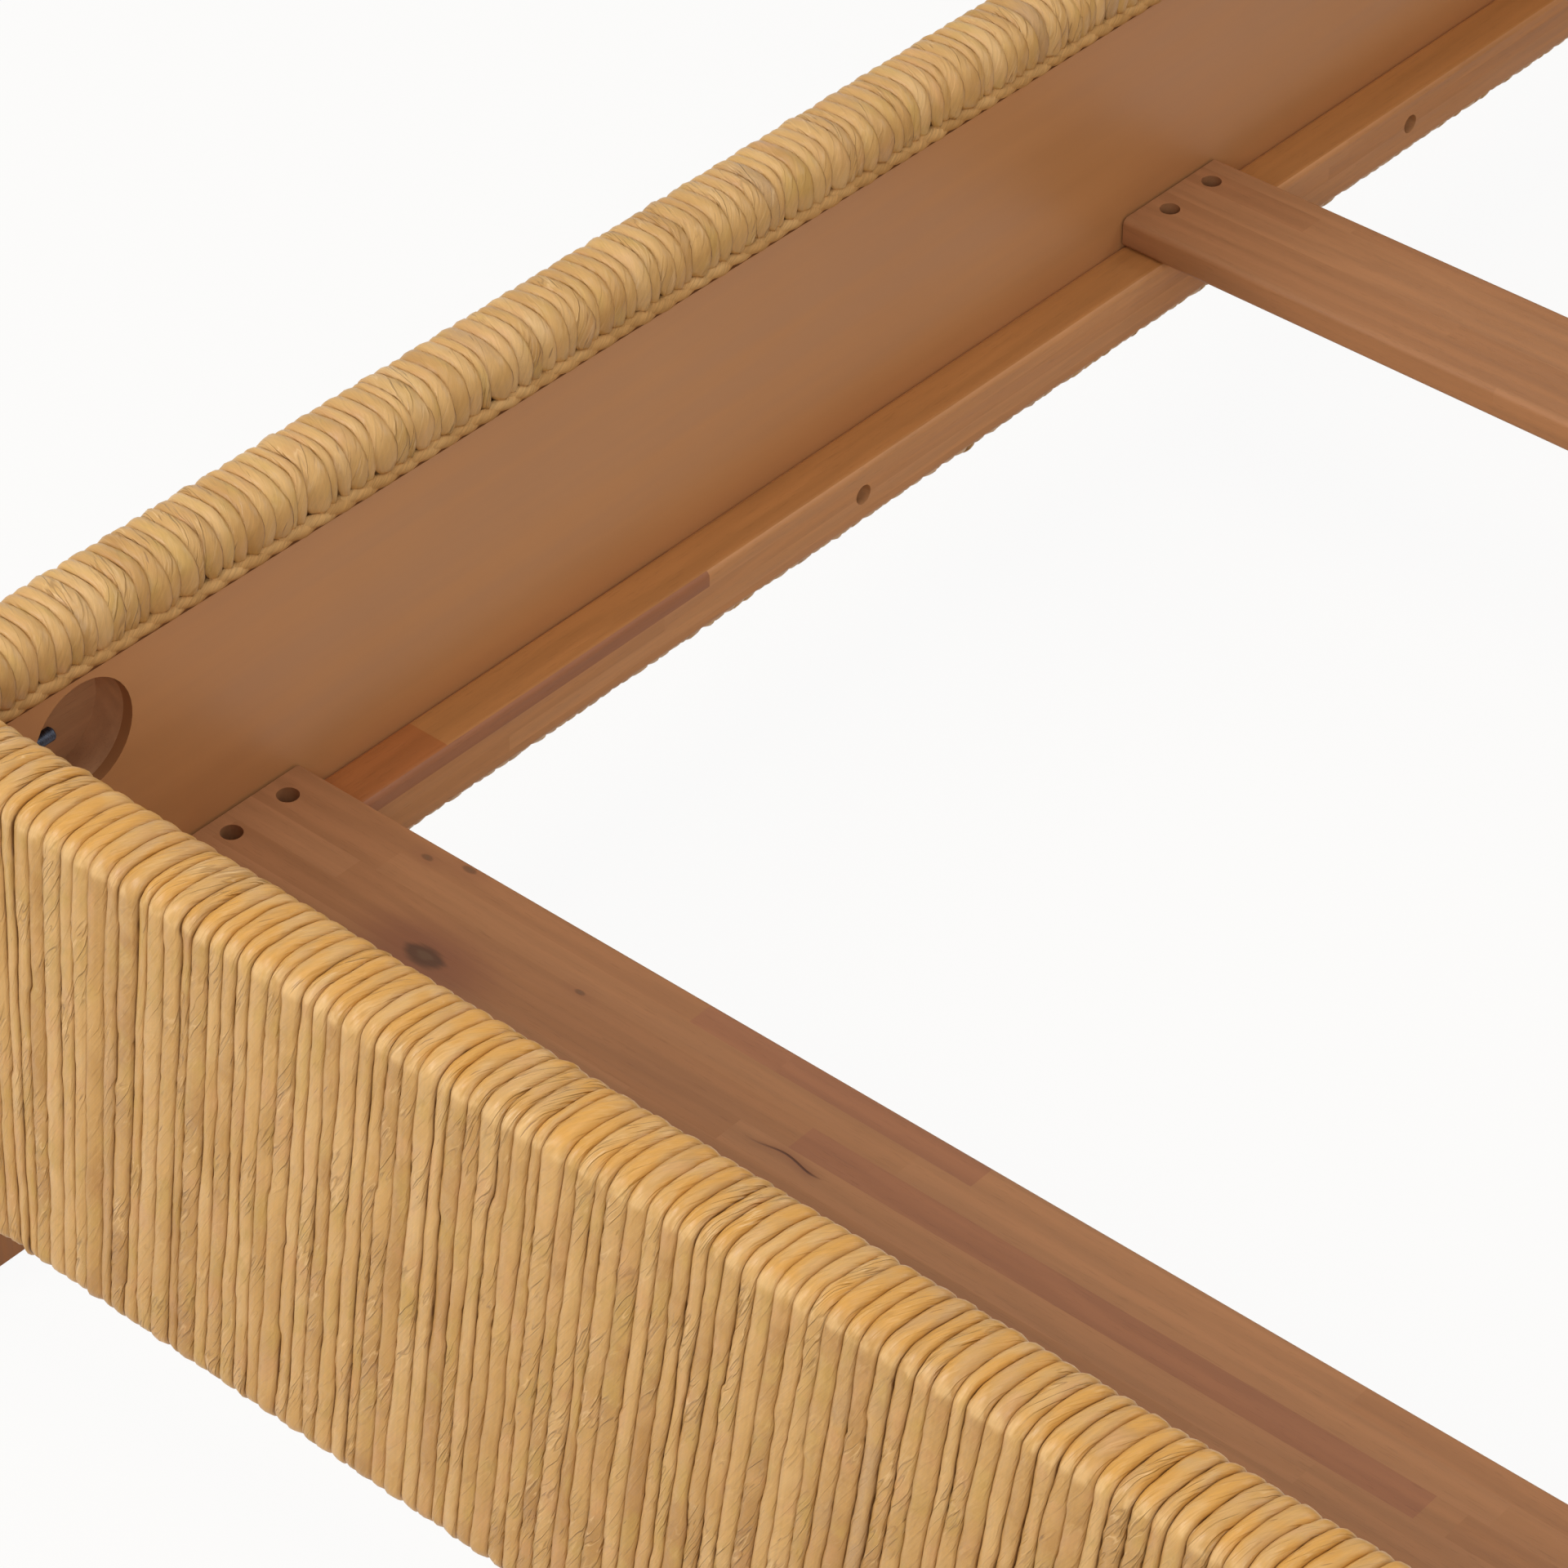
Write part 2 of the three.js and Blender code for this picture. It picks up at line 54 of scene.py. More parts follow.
lens_axis = (
    Matrix.Rotation(LOOK_TURN, 4, "Z")
    @ Matrix.Rotation(math.pi / 2 - LOOK_DOWN, 4, "X")
    @ Matrix.Rotation(LOOK_ROLL, 4, "Z")
)
camera_data = bpy.data.cameras.new("camera")
camera_data.sensor_width = CAMERA_SENSOR
camera_data.lens = CAMERA_LENS
camera = bpy.data.objects.new("camera", camera_data)
camera.matrix_world = Matrix.Translation(CAMERA_PLACE) @ lens_axis
bpy.context.scene.collection.objects.link(camera)
bpy.context.scene.camera = camera

# Foot rail winding: one rope of rolled banana leaf, laid turn against turn over the core.
# Each turn starts under the inner lip, bends over the top, leans a little down the front and
# ends under the rail. The rope is rolled by hand, so its width wanders from turn to turn.
ROPE = 0.0085
ROPE_PITCH = 0.0092
ROPE_TUCK = 0.0034
TIP_LENGTH = 0.011
END_LENGTH = 0.009
BEND_RADIUS = 0.013
CROWN = 0.0010
CROWN_FROM = 0.030
CROWN_FULL = 0.006
UPPER_LIP = 0.0310
LOWER_LIP = 0.030
LIP_LAP = 0.018
TWIST_LENGTH = 0.090
FOOT_LEAN = -0.134
LEAN_TAPER = 0.240
FOOT_STEP = 0.0025
LIP_STEP = 0.004
HIDDEN_STEP = 0.008
ARC_POINTS = 7
STRAIGHT_END = 0.02
NARROWEST_TURN = 0.0056
PIECE_LIMIT = 190000
# How far the rope strays: a stretch of its length and the sway over it, or a size alone.
LONG_SWAY = (0.034, 0.00040)
SHORT_SWAY = (0.012, 0.00020)
MOST_SWAY = 0.0020
TURN_SCATTER = 0.00065
LIP_SCATTER = 0.0010
KINK_EVERY = 0.09
KINK_LENGTH = 0.0016
KINK_SIZE = 0.00034
PINCH_LENGTH = 0.0024
DEEPEST_PINCH = 0.14
# How a turn stands off the core, and how it leans, laps over the next and sinks at the lip.
PRESSED_WIDTH = 1.04
PLUMPNESS = 0.12
MOST_LIFT = 0.0006
LIFT_SWAY = (0.016, 0.00016)
TURN_TILT = 0.0006
TILT_SWAY = (0.05, 0.0004)
LAPPING_SHARE = 0.45
LIP_SPREAD = 0.40
LIP_STAGGER = 0.0010
LIP_SINK = 0.0007
LIP_TILT = 0.0016
START_LENGTH = 0.004
# The section of the rope, in degrees round it, and the folds that the twist leaves in its skin.
SECTION = [-20, 7.5, 35, 62.5, 90, 117.5, 145, 172.5, 200, 238, 302]
WIDTH_POWER = 0.78
HEIGHT_POWER = 0.94
FLATTER_WIDTH = 0.16
FLATTER_HEIGHT = 0.40
FOLDS_A_TWIST = 7
FOLD_SWAY = (0.03, 1.5)
CREASED_LENGTH = 0.040
SMOOTH_DENT = 0.012
CREASED_DENT = 0.035
# Painted shade in the gaps between turns: more of it along one edge of each turn near the lip, less over
# the top.
LIP_GAP = 0.12
TOP_GAP = 0.035

dice = np.random.default_rng(7)


def smooth(value, start, end):
    """0 before start, 1 after end, with an even rise between them."""
    share = np.clip((value - start) / (end - start), 0.0, 1.0)
    return share * share * (3 - 2 * share)


def waver(rows, run, gap, size):
    """Random smooth lines, one a row, that swing about zero by size over stretches of length gap."""
    heights = dice.normal(0.0, size, (rows, int(run[-1] / gap) + 2))
    first = (run / gap).astype(int)
    part = smooth(run / gap - first, 0.0, 1.0)
    return heights[:, first] * (1 - part) + heights[:, first + 1] * part


def turn_route(height, thickness, lip_bend, step):
    """The middle line of one turn, from the upper lip to the lower: depth and rise, and the way out."""
    near, far = BEND_RADIUS, thickness - BEND_RADIUS
    low, high = BEND_RADIUS, height - BEND_RADIUS
    route = [(ROPE / 2, height - UPPER_LIP)]
    corners = (
        (lip_bend, height - lip_bend, 2, lip_bend),
        (far, high, 1, BEND_RADIUS),
        (far, low, 0, BEND_RADIUS),
        (near, low, -1, BEND_RADIUS),
    )
    for depth, rise, quarter, bend in corners:
        radius = bend - ROPE / 2
        for angle in np.linspace(quarter, quarter - 1, ARC_POINTS) * math.pi / 2:
            route.append((depth + radius * math.cos(angle), rise + radius * math.sin(angle)))
    route.append((ROPE / 2, LOWER_LIP))
    straights = (LIP_STEP, step, step, HIDDEN_STEP, HIDDEN_STEP)
    steps = {number * ARC_POINTS: gap for number, gap in enumerate(straights)}
    points = route[:1]
    for number, (start, end) in enumerate(zip(route, route[1:])):
        stops = max(1, round(math.dist(start, end) / steps.get(number, 1.0)))
        for part in range(1, stops + 1):
            points.append(tuple(a + (b - a) * part / stops for a, b in zip(start, end)))
    depth, rise = np.array(points).T
    middle = thickness / 2
    off_middle = np.clip(np.abs(depth - middle) / (middle - BEND_RADIUS), 0.0, 1.0)
    rise = rise - CROWN * off_middle**2 * smooth(rise, height - CROWN_FROM, height - CROWN_FULL)
    run = np.concatenate([[0.0], np.cumsum(np.hypot(np.diff(depth), np.diff(rise)))])
    ahead = np.stack([np.gradient(depth, run), np.gradient(rise, run)])
    ahead /= np.hypot(*ahead)
    return depth, rise, run, -ahead[1], ahead[0]


def rope_mesh(name, points, marks, joined=False):
    """A mesh of closed tubes. Points run tube by ring by corner; joined tubes meet their own start."""
    count, rings, corners = points.shape[:3]
    index = np.arange(count * rings * corners).reshape(count, rings, corners)
    beside = np.roll(index, -1, axis=2)
    ahead, ahead_beside = np.roll(index, -1, axis=1), np.roll(beside, -1, axis=1)
    sides = np.stack([index, beside, ahead_beside, ahead], axis=-1)
    if not joined:
        sides = sides[:, :-1]
    sides = sides.reshape(-1, 4)
    caps = np.zeros((0, corners), int) if joined else np.concatenate([index[:, 0, ::-1], index[:, -1]])
    starts = np.concatenate([np.arange(len(sides)) * 4, len(sides) * 4 + np.arange(len(caps)) * corners])
    mesh = bpy.data.meshes.new(name)
    mesh.vertices.add(index.size)
    mesh.vertices.foreach_set("co", points.astype(np.float32).ravel())
    mesh.loops.add(sides.size + caps.size)
    face_corners = np.concatenate([sides.ravel(), caps.ravel()])
    mesh.loops.foreach_set("vertex_index", face_corners.astype(np.int32))
    mesh.polygons.add(len(starts))
    mesh.polygons.foreach_set("loop_start", starts.astype(np.int32))
    mesh.update(calc_edges=True)
    mesh.shade_smooth()
    for label, values in marks.items():
        layer = mesh.attributes.new(label, "FLOAT", "POINT")
        layer.data.foreach_set("value", np.broadcast_to(values, index.shape).astype(np.float32).ravel())
    piece = bpy.data.objects.new(name, mesh)
    bpy.context.scene.collection.objects.link(piece)
    return piece


def wind_rail(
    member, along, outward, finish, step,
    lean=0.0, lip_bend=BEND_RADIUS, lip_drift=0.0, lap=LIP_LAP, golden=0.0,
):
    """Winds the rope round one rail or board. Along and outward are the ways of its length and depth.
    Below lap, near the lip's end, the turns lie wide and lap over each other."""
    low, high = (np.array(corner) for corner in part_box(member + "_cord_wrap"))
    along, outward = np.array(along, float), np.array(outward, float)
    size = high - low
    length, thickness, height = abs(size @ along), abs(size @ outward), size[2]
    origin = (low + high) / 2 - outward * thickness / 2
    origin[2] = low[2]
    depth, rise, run, way_out, way_up = turn_route(height, thickness, lip_bend, step)
    count = round(length / ROPE_PITCH)

    borders = np.linspace(-length / 2, length / 2, count + 1)[:, None]
    inside = smooth(length / 2 - np.abs(borders), 0.0, LEAN_TAPER)
    loose = smooth(length / 2 - np.abs(borders), 0.0, STRAIGHT_END)
    near_lip = 1 - smooth(run, lap / 3, lap)
    shift = lean * (run - run[-1] / 2) * inside + lip_drift * near_lip**2 * loose
    wander = waver(count + 1, run, *LONG_SWAY) + waver(count + 1, run, *SHORT_SWAY)
    wander += dice.normal(0.0, TURN_SCATTER, (count + 1, 1))
    for _ in range(int(run[-1] / KINK_EVERY)):
        place = dice.uniform(0, run[-1], (count + 1, 1))
        wander += dice.normal(0.0, KINK_SIZE, (count + 1, 1)) * np.tanh((run - place) / KINK_LENGTH)
    borders = borders + shift + np.clip(wander, -MOST_SWAY, MOST_SWAY) * loose

    at_lip = dice.normal(0.0, LIP_SCATTER, (count, 1)) * near_lip**2 * loose[1:]
    middle = (borders[1:] + borders[:-1]) / 2 + at_lip
    width = np.maximum(borders[1:] - borders[:-1], NARROWEST_TURN)
    pinch = np.zeros_like(width)
    for _ in range(2):
        place = dice.uniform(0, run[-1], (count, 1))
        depth_here = dice.uniform(0.0, DEEPEST_PINCH, (count, 1))
        pinch += depth_here * np.exp(-(((run - place) / PINCH_LENGTH) ** 2))
    over = (dice.random((count, 1)) < LAPPING_SHARE) - 0.5
    half = width / 2 * (PRESSED_WIDTH - pinch) * (1 + (LIP_SPREAD + LIP_SPREAD * over) * near_lip)
    tilt = dice.normal(0.0, TURN_TILT, (count, 1)) + waver(count, run, *TILT_SWAY)
    lift = ROPE / 2 + PLUMPNESS * (width - ROPE_PITCH) + waver(count, run, *LIFT_SWAY)
    lift = np.minimum(lift + (over * LIP_STAGGER - LIP_SINK) * near_lip, ROPE / 2 + MOST_LIFT)
    tilt = tilt - LIP_TILT * near_lip
    tip = TIP_LENGTH * dice.uniform(0.7, 1.3, (count, 1))
    half = half * np.sin(np.clip(run / tip, 0.08, 1.0) * math.pi / 2) ** 0.9
    lift = lift * np.sqrt(1 - (1 - np.clip(run / START_LENGTH, 0.1, 1.0)) ** 2)
    to_end = np.clip((run[-1] - run) / END_LENGTH, 0.1, 1.0)
    half = half * np.sqrt(1 - (1 - to_end) ** 2)
    lift = lift * np.sqrt(1 - (1 - to_end) ** 2)

    angle = np.radians(SECTION)
    cosine, sine = np.cos(angle), np.sin(angle)
    flat_side = 1 - smooth(np.abs(way_up), 0.3, 0.9) * smooth(rise, height / 2, height * 0.7)
    across = np.sign(cosine) * np.abs(cosine) ** (WIDTH_POWER - FLATTER_WIDTH * flat_side[:, None])
    out = np.abs(sine) ** (HEIGHT_POWER - FLATTER_HEIGHT * flat_side[:, None])
    out = np.where(sine > 0, out, 0.0)
    tuck = np.where(sine < 0, sine, 0.0) * ROPE_TUCK
    creased = smooth(waver(count, run, CREASED_LENGTH, 1.0), -0.1, 1.3)[:, :, None]
    lay = run[:, None] / TWIST_LENGTH - angle / math.tau + dice.random((count, 1, 1))
    drift = waver(count, run, *FOLD_SWAY)[:, :, None]
    dent = 1 + (SMOOTH_DENT + CREASED_DENT * creased) * np.sin(lay * FOLDS_A_TWIST * math.tau + drift)
    offset = middle[:, :, None] + half[:, :, None] * across * dent
    stand = (lift[:, :, None] + tilt[:, :, None] * across) * out * dent + tuck
    points = (
        origin
        + offset[..., None] * along
        + (depth[:, None] + stand * way_out[:, None])[..., None] * outward
        + (rise[:, None] + stand * way_up[:, None])[..., None] * np.array([0, 0, 1.0])
    )

    high = smooth(rise, height / 2, height * 0.7)
    gold = golden * smooth(way_up, 0.25, 0.9) * high
    outer = smooth(depth, thickness / 2, thickness * 0.8)
    # Shoulder mask: the outer top bend of each turn, where a painted highlight goes.
    shoulder = np.exp(-(((way_up - 0.36) / 0.26) ** 2)) * high * outer
    # The gap shade mask rises to 1 at the contact lines between turns, where painted shade goes.
    gap_shade_mask = np.abs(cosine) * (sine > 0) + (sine <= 0) + LIP_GAP * near_lip[:, None] * (cosine < 0)
    marks = {
        "run": run[:, None],
        "around": angle / math.tau,
        "turn": dice.random((count, 1, 1)),
        "gap_shade_mask": gap_shade_mask - TOP_GAP * (1 - flat_side[:, None]),
        "gold": gold[:, None],
        "shoulder": shoulder[:, None],
        "creased": creased,
    }
    marks = {label: np.broadcast_to(values, stand.shape) for label, values in marks.items()}
    parts = math.ceil(stand.size * 2 / PIECE_LIMIT)
    for number, turns in enumerate(np.array_split(np.arange(count), parts), 1):
        part_marks = {label: values[turns] for label, values in marks.items()}
        piece = rope_mesh(f"{member}_cord_{number}", points[turns], part_marks)
        piece.data.materials.append(finish)
        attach(piece, "root")
        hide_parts(member + "_cord_wrap")


def shade(red, green, blue):
    """A colour given in screen values, 0 to 255, as the share of light that it gives back."""
    parts = [value / 255 for value in (red, green, blue)]
    return [v / 12.92 if v < 0.04045 else ((v + 0.055) / 1.055) ** 2.4 for v in parts] + [1.0]


class Finish:
    """One material, and the sums and patterns that feed its shader."""

    def __init__(self, name):
        self.material = bpy.data.materials.new(name)
        self.material.use_nodes = True
        self.tree = self.material.node_tree
        self.shader = self.tree.nodes["Principled BSDF"]

    def feed(self, socket, value):
        if isinstance(value, bpy.types.NodeSocket):
            self.tree.links.new(value, socket)
        else:
            socket.default_value = value

    def node(self, kind, output, inputs, **settings):
        made = self.tree.nodes.new(kind)
        for label, value in settings.items():
            setattr(made, label, value)
        for label, value in inputs.items():
            self.feed(made.inputs[label], value)
        return made.outputs[output]

    def sum(self, operation, *values):
        return self.node("ShaderNodeMath", 0, dict(enumerate(values)), operation=operation)

    def times(self, first, second):
        return self.sum("MULTIPLY", first, second)

    def plus(self, first, second):
        return self.sum("ADD", first, second)

    def minus(self, first, second):
        return self.sum("SUBTRACT", first, second)

    def per(self, first, second):
        return self.sum("DIVIDE", first, second)

    def mark(self, label):
        return self.node("ShaderNodeAttribute", "Fac", {}, attribute_name=label)

    def place(self):
        spot = self.node("ShaderNodeTexCoord", "Object", {})
        made = self.tree.nodes.new("ShaderNodeSeparateXYZ")
        self.feed(made.inputs[0], spot)
        return dict(zip("XYZ", made.outputs))

    def point(self, x, y, z):
        return self.node("ShaderNodeCombineXYZ", 0, {0: x, 1: y, 2: z})

    def noise(self, point, scale, detail=2.0, roughness=0.5):
        inputs = {"Vector": point, "Scale": scale, "Detail": detail, "Roughness": roughness}
        return self.node("ShaderNodeTexNoise", 0, inputs)

    def dots(self, point):
        return self.node("ShaderNodeTexWhiteNoise", "Value", {"Vector": point}, noise_dimensions="3D")

    def between(self, value, start, end, low=0.0, high=1.0):
        inputs = {"Value": value, "From Min": start, "From Max": end, "To Min": low, "To Max": high}
        return self.node("ShaderNodeMapRange", 0, inputs, interpolation_type="SMOOTHSTEP")

    def blend(self, share, first, second, how="MIX"):
        inputs = {"Factor": share, "A": first, "B": second}
        made = self.tree.nodes.new("ShaderNodeMix")
        made.data_type = "RGBA"
        made.blend_type = how
        sockets = {"Factor": made.inputs[0], "A": made.inputs[6], "B": made.inputs[7]}
        for label, value in inputs.items():
            self.feed(sockets[label], value)
        return made.outputs[2]

    def scale_colour(self, colour, amount):
        grey = self.node("ShaderNodeCombineColor", 0, {0: amount, 1: amount, 2: amount})
        return self.blend(1.0, colour, grey, "MULTIPLY")

    def ramp(self, share, *stops):
        made = self.tree.nodes.new("ShaderNodeValToRGB")
        self.feed(made.inputs[0], share)
        points = made.color_ramp.elements
        while len(points) < len(stops):
            points.new(0.5)
        for point, (position, colour) in zip(points, stops):
            point.position = position
            point.color = colour
        return made.outputs[0]

    def surface(self, colour, roughness, height=None, gloss=0.5):
        """Joins the patterns to the shader. Height is the relief in metres."""
        self.feed(self.shader.inputs["Base Color"], colour)
        self.feed(self.shader.inputs["Roughness"], roughness)
        self.shader.inputs["Specular IOR Level"].default_value = gloss
        if height is not None:
            bump = self.node("ShaderNodeBump", 0, {"Strength": 1.0, "Distance": 1.0, "Height": height})
            self.feed(self.shader.inputs["Normal"], bump)
        return self.material


LEAF_TONES = (
    (0.28, shade(184, 138, 78)),
    (0.44, shade(199, 154, 91)),
    (0.60, shade(207, 163, 101)),
    (0.78, shade(215, 174, 116)),
)
GREENISH_LEAF = shade(194, 156, 82)
PINKISH_LEAF = shade(209, 156, 108)
DRY_LEAF = shade(168, 130, 92)
GOLDEN_LEAF = shade(206, 150, 70)
SHOULDER_HIGHLIGHT = shade(230, 190, 134)
FOLD_SHADE = shade(128, 86, 40)
FOLD_HIGHLIGHT = shade(232, 195, 142)
SPECK = shade(112, 74, 38)
HOLLOW_SHADE = shade(158, 112, 58)
GAP_SHADE = shade(104, 66, 28)
FOLD_DEPTH = 0.00055
PLEAT_DEPTH = 0.00009
FIBRE_DEPTH = 0.00007
DENT_DEPTH = 0.00060


def leaf_finish():
    """Rolled banana leaf: straw tones by turn and patch, leaf edges that wind round it, fine fibres.
    Painted shade lies in the gaps between turns and along the folds, painted highlights beside the folds
    and on the shoulders.
    The patterns along the run are in waves a metre, and those round it in waves a turn."""
    f = Finish("rolled_banana_leaf")
    run, around, turn = f.mark("run"), f.mark("around"), f.mark("turn")
    own = f.times(turn, 53.0)
    lay = f.minus(f.per(run, TWIST_LENGTH), around)
    patch = f.noise(f.point(f.times(run, 26.0), own, around), 1.0, 2.0)
    hue = f.noise(f.point(f.times(run, 38.0), f.plus(own, 7.0), f.times(around, 2.0)), 1.0, 2.0)
    fine_patch = f.noise(f.point(f.times(run, 130.0), own, f.times(around, 6.0)), 1.0, 2.0)
    creased = f.between(f.mark("creased"), 0.05, 0.80, 0.30, 1.0)
    fold = f.noise(f.point(f.times(lay, 9.0), f.times(around, 3.0), own), 1.0, 1.5)
    line = f.noise(f.point(f.times(lay, 26.0), f.times(around, 2.5), own), 1.0, 1.0)
    fibre = f.noise(f.point(f.times(lay, 60.0), f.times(run, 30.0), own), 1.0, 3.0, 0.6)
    vein = f.noise(f.point(f.times(run, 12.0), f.times(around, 26.0), own), 1.0, 3.0, 0.6)
    speck_place = f.point(f.times(lay, 22.0), f.times(run, 60.0), own)
    speck = f.between(f.noise(speck_place, 1.0, 1.0), 0.75, 0.80)

    tone = f.plus(f.times(turn, 0.34), f.times(patch, 0.70))
    colour = f.ramp(tone, *LEAF_TONES)
    colour = f.blend(f.between(hue, 0.52, 0.70, 0.0, 0.55), colour, GREENISH_LEAF)
    colour = f.blend(f.between(hue, 0.45, 0.28, 0.0, 0.38), colour, PINKISH_LEAF)
    dry = f.between(f.dots(f.point(turn, 3.0, 1.0)), 0.93, 0.96)
    dry = f.times(dry, f.between(patch, 0.38, 0.60))
    colour = f.blend(f.times(dry, 0.6), colour, DRY_LEAF)
    gold = f.times(f.mark("gold"), f.between(hue, 0.38, 0.58, 0.1, 0.95))
    colour = f.blend(gold, colour, GOLDEN_LEAF)
    # Painted highlight on the outer shoulder of each turn.
    pale = f.times(f.mark("shoulder"), f.between(fine_patch, 0.40, 0.58, 0.1, 0.75))
    colour = f.blend(pale, colour, SHOULDER_HIGHLIGHT)
    colour = f.scale_colour(colour, f.between(fibre, 0.25, 0.75, 0.94, 1.04))
    colour = f.scale_colour(colour, f.between(vein, 0.25, 0.75, 0.94, 1.04))
    # Painted shade along each leaf fold, with a painted highlight on the fold's other side.
    crease = f.between(f.sum("ABSOLUTE", f.minus(fold, 0.44)), 0.030, 0.0)
    short = f.between(f.noise(f.point(f.times(run, 75.0), own, 3.0), 1.0, 1.0), 0.45, 0.58)
    crease = f.times(f.times(crease, creased), short)
    lit = f.between(f.sum("ABSOLUTE", f.minus(fold, 0.52)), 0.030, 0.0)
    lit = f.times(f.times(lit, creased), short)
    colour = f.blend(f.times(crease, 0.45), colour, FOLD_SHADE)
    colour = f.blend(f.times(lit, 0.55), colour, FOLD_HIGHLIGHT)
    # Painted shade in the pleats: they darken by a few percent.
    pleat = f.times(f.between(line, 0.58, 0.50), creased)
    colour = f.scale_colour(colour, f.between(pleat, 0.0, 1.0, 1.01, 0.97))
    colour = f.blend(f.times(speck, 0.6), colour, SPECK)
    # Painted shade in the gaps between turns: a soft brown band, then a dark broken line where the turns
    # touch.
    colour = f.blend(f.between(f.mark("gap_shade_mask"), 0.40, 0.80, 0.0, 0.20), colour, HOLLOW_SHADE)
    break_place = f.point(f.times(run, 48.0), own, 9.0)
    broken = f.between(f.noise(break_place, 1.0, 2.0), 0.38, 0.60, 0.42, 0.95)
    gap = f.times(f.between(f.mark("gap_shade_mask"), 0.81, 0.92), broken)
    colour = f.blend(gap, colour, GAP_SHADE)

    step = f.times(f.between(fold, 0.42, 0.50), f.times(creased, FOLD_DEPTH))
    pleats = f.times(pleat, -PLEAT_DEPTH)
    ridges = f.times(fibre, FIBRE_DEPTH)
    dents = f.times(fine_patch, DENT_DEPTH)
    height = f.plus(f.plus(step, pleats), f.plus(ridges, dents))
    roughness = f.between(fibre, 0.2, 0.8, 0.34, 0.48)
    return f.surface(colour, roughness, height, gloss=0.4)


leaf = leaf_finish()
wind_rail("foot_rail", (1, 0, 0), (0, -1, 0), leaf, FOOT_STEP, lean=FOOT_LEAN, golden=1.0)

# Side rail winding: the same rope round the two long rails, 30 mm lower than the foot rail.
# The turns go straight over the top, and the outer face shows only from beside the bed.
SIDE_LIP_BEND = 0.019
SIDE_LIP_DRIFT = 0.004
SIDE_LAP = 0.034
SIDE_STEP = 0.0065
SIDES = (
    ("left_rail", (0, -1, 0), (-1, 0, 0)),
    ("right_rail", (0, 1, 0), (1, 0, 0)),
)
for member, along, outward in SIDES:
    wind_rail(
        member, along, outward, leaf, SIDE_STEP,
        lip_bend=SIDE_LIP_BEND, lip_drift=SIDE_LIP_DRIFT, lap=SIDE_LAP,
    )

# Headboard winding: the rope goes over the tall board from its back lip and down the face that
# the pillows meet.
HEADBOARD_STEP = 0.0085
wind_rail("headboard", (1, 0, 0), (0, -1, 0), leaf, HEADBOARD_STEP)

# Welts: a thin rope of two strands laid round each panel, in the groove where the lips end.
# It hides the cut ends of the turns and is glued down.
STRAND_RADIUS = 0.0039
STRAND_OFFSET = 0.0010
STRAND_LAY = 0.030
WELT_CORNER = 0.016
WELT_CORNER_POINTS = 9
STEPS_A_LAY = 9
STRAND_SIDES = 8
STRAND_SWELL = (0.012, 0.07)


def welt_route(width, height, step):
    """A rectangle with round corners as evenly spaced points, with the way out at each of them."""
    reach, rise = width / 2 - WELT_CORNER, height / 2 - WELT_CORNER
    corners = ((reach, rise, 0), (-reach, rise, 1), (-reach, -rise, 2), (reach, -rise, 3))
    line = []
    for across, up, quarter in corners:
        for angle in np.linspace(quarter, quarter + 1, WELT_CORNER_POINTS) * math.pi / 2:
            line.append((across + WELT_CORNER * math.cos(angle), up + WELT_CORNER * math.sin(angle)))
    line = np.array(line + line[:1])
    run = np.concatenate([[0.0], np.cumsum(np.hypot(*np.diff(line, axis=0).T))])
    count = int(run[-1] / step)
    places = np.arange(count) * run[-1] / count
    spots = np.stack([np.interp(places, run, line[:, 0]), np.interp(places, run, line[:, 1])], axis=1)
    ahead = np.roll(spots, -1, axis=0) - np.roll(spots, 1, axis=0)
    ahead /= np.linalg.norm(ahead, axis=1)[:, None]
    return spots, np.stack([ahead[:, 1], -ahead[:, 0]], axis=1), places


def twist_welt(member, across, outward, finish):
    """Lays the two strands of one welt. Across is the way of the panel's width, outward the way out."""
    low, high = (np.array(corner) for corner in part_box(member + "_welt"))
    across, outward, up = np.array(across, float), np.array(outward, float), np.array([0, 0, 1.0])
    width, height = abs((high - low) @ across), high[2] - low[2]
    rope_radius = STRAND_RADIUS + STRAND_OFFSET
    step = STRAND_LAY / STEPS_A_LAY
    spots, way, run = welt_route(width - 2 * rope_radius, height - 2 * rope_radius, step)
    lays = round(run[-1] / STRAND_LAY)
    turn = math.tau * lays * np.arange(len(run)) / len(run)
    middle = (low + high) / 2 + spots[:, :1] * across + spots[:, 1:] * up
    side = way[:, :1] * across + way[:, 1:] * up
    corner = np.arange(STRAND_SIDES) * math.tau / STRAND_SIDES
    points = []
    for half_turn in (0.0, math.pi):
        reach = np.cos(turn + half_turn)[:, None] * side + np.sin(turn + half_turn)[:, None] * outward
        centre = middle + STRAND_OFFSET * reach
        swell = 1 + np.clip(waver(1, run, *STRAND_SWELL)[0], -0.18, 0.1)
        spoke = np.cos(corner)[None, :, None] * side[:, None] + np.sin(corner)[None, :, None] * outward
        points.append(centre[:, None] + (STRAND_RADIUS * swell)[:, None, None] * spoke)
    points = np.stack(points)
    marks = {
        "run": run[:, None],
        "around": corner / math.tau,
        "turn": np.array([0.2, 0.7])[:, None, None],
    }
    marks = {label: np.broadcast_to(values, points.shape[:3]) for label, values in marks.items()}
    piece = rope_mesh(member + "_welt_rope", points, marks, joined=True)
    piece.data.materials.append(finish)
    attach(piece, "root")
    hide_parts(member + "_welt")


STRAND_TONES = (
    (0.30, shade(190, 144, 86)),
    (0.50, shade(203, 156, 97)),
    (0.70, shade(214, 170, 111)),
)
STRAND_FIBRE_DEPTH = 0.00055


